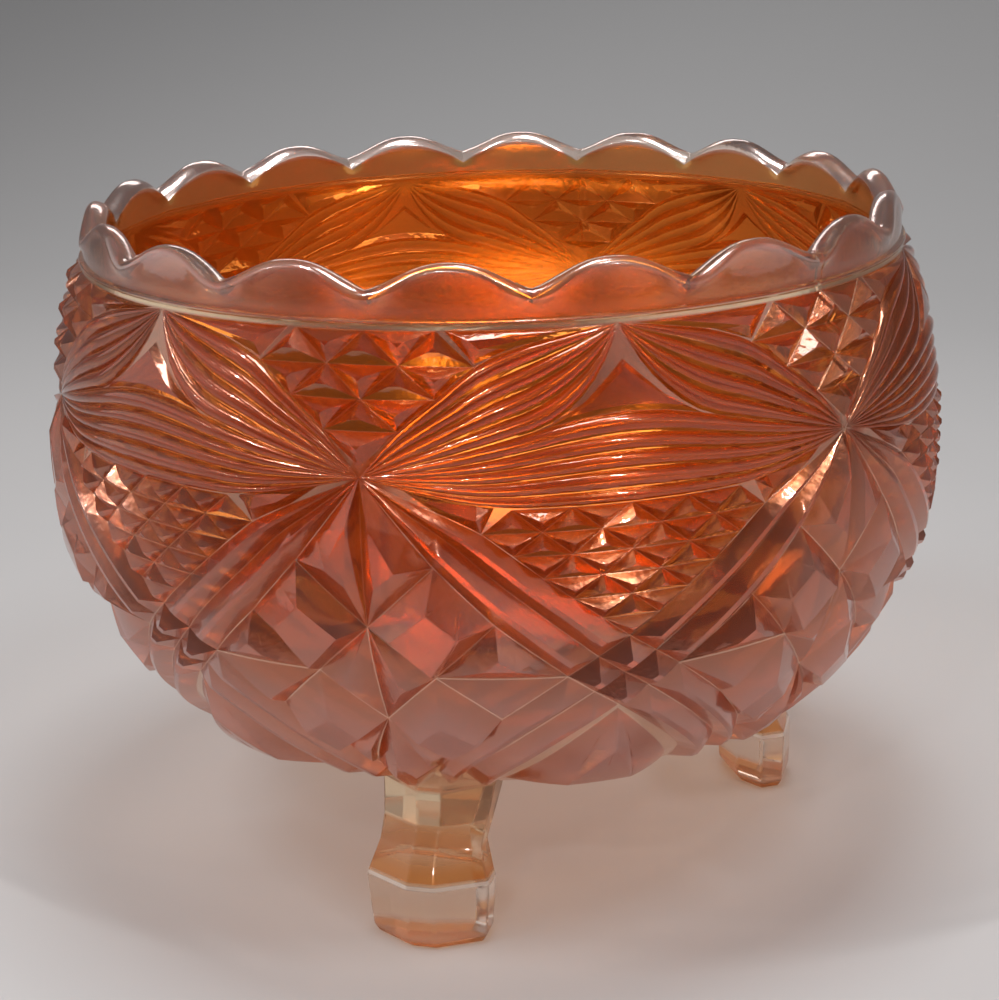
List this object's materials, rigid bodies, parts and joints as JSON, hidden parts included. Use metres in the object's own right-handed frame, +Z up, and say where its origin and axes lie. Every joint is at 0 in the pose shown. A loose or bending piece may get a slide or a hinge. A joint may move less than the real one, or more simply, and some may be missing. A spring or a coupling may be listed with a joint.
{
  "type": "footed glass bowl",
  "caption": "Round pressed-glass bowl with a cut-star pattern, a scalloped rim and short faceted legs, in iridescent amber carnival glass.",
  "frame": {"origin": "on the table plane under the centre of the bowl, at the middle of the circle that the legs stand on", "axes": "+Z up along the axis of the bowl, -Y towards one leg, +X towards the right when that leg is in front"},
  "size_m": [0.1496, 0.15, 0.114],
  "materials": {
    "amber_glass": "glossy, with a pink and gold iridescent film",
    "pale_amber_glass": "glossy and clear, slightly iridescent"
  },
  "bodies": {
    "root": {"bowl": "amber_glass", "leg_front": "pale_amber_glass", "leg_right": "pale_amber_glass", "leg_left": "pale_amber_glass"}
  },
  "joints": []
}
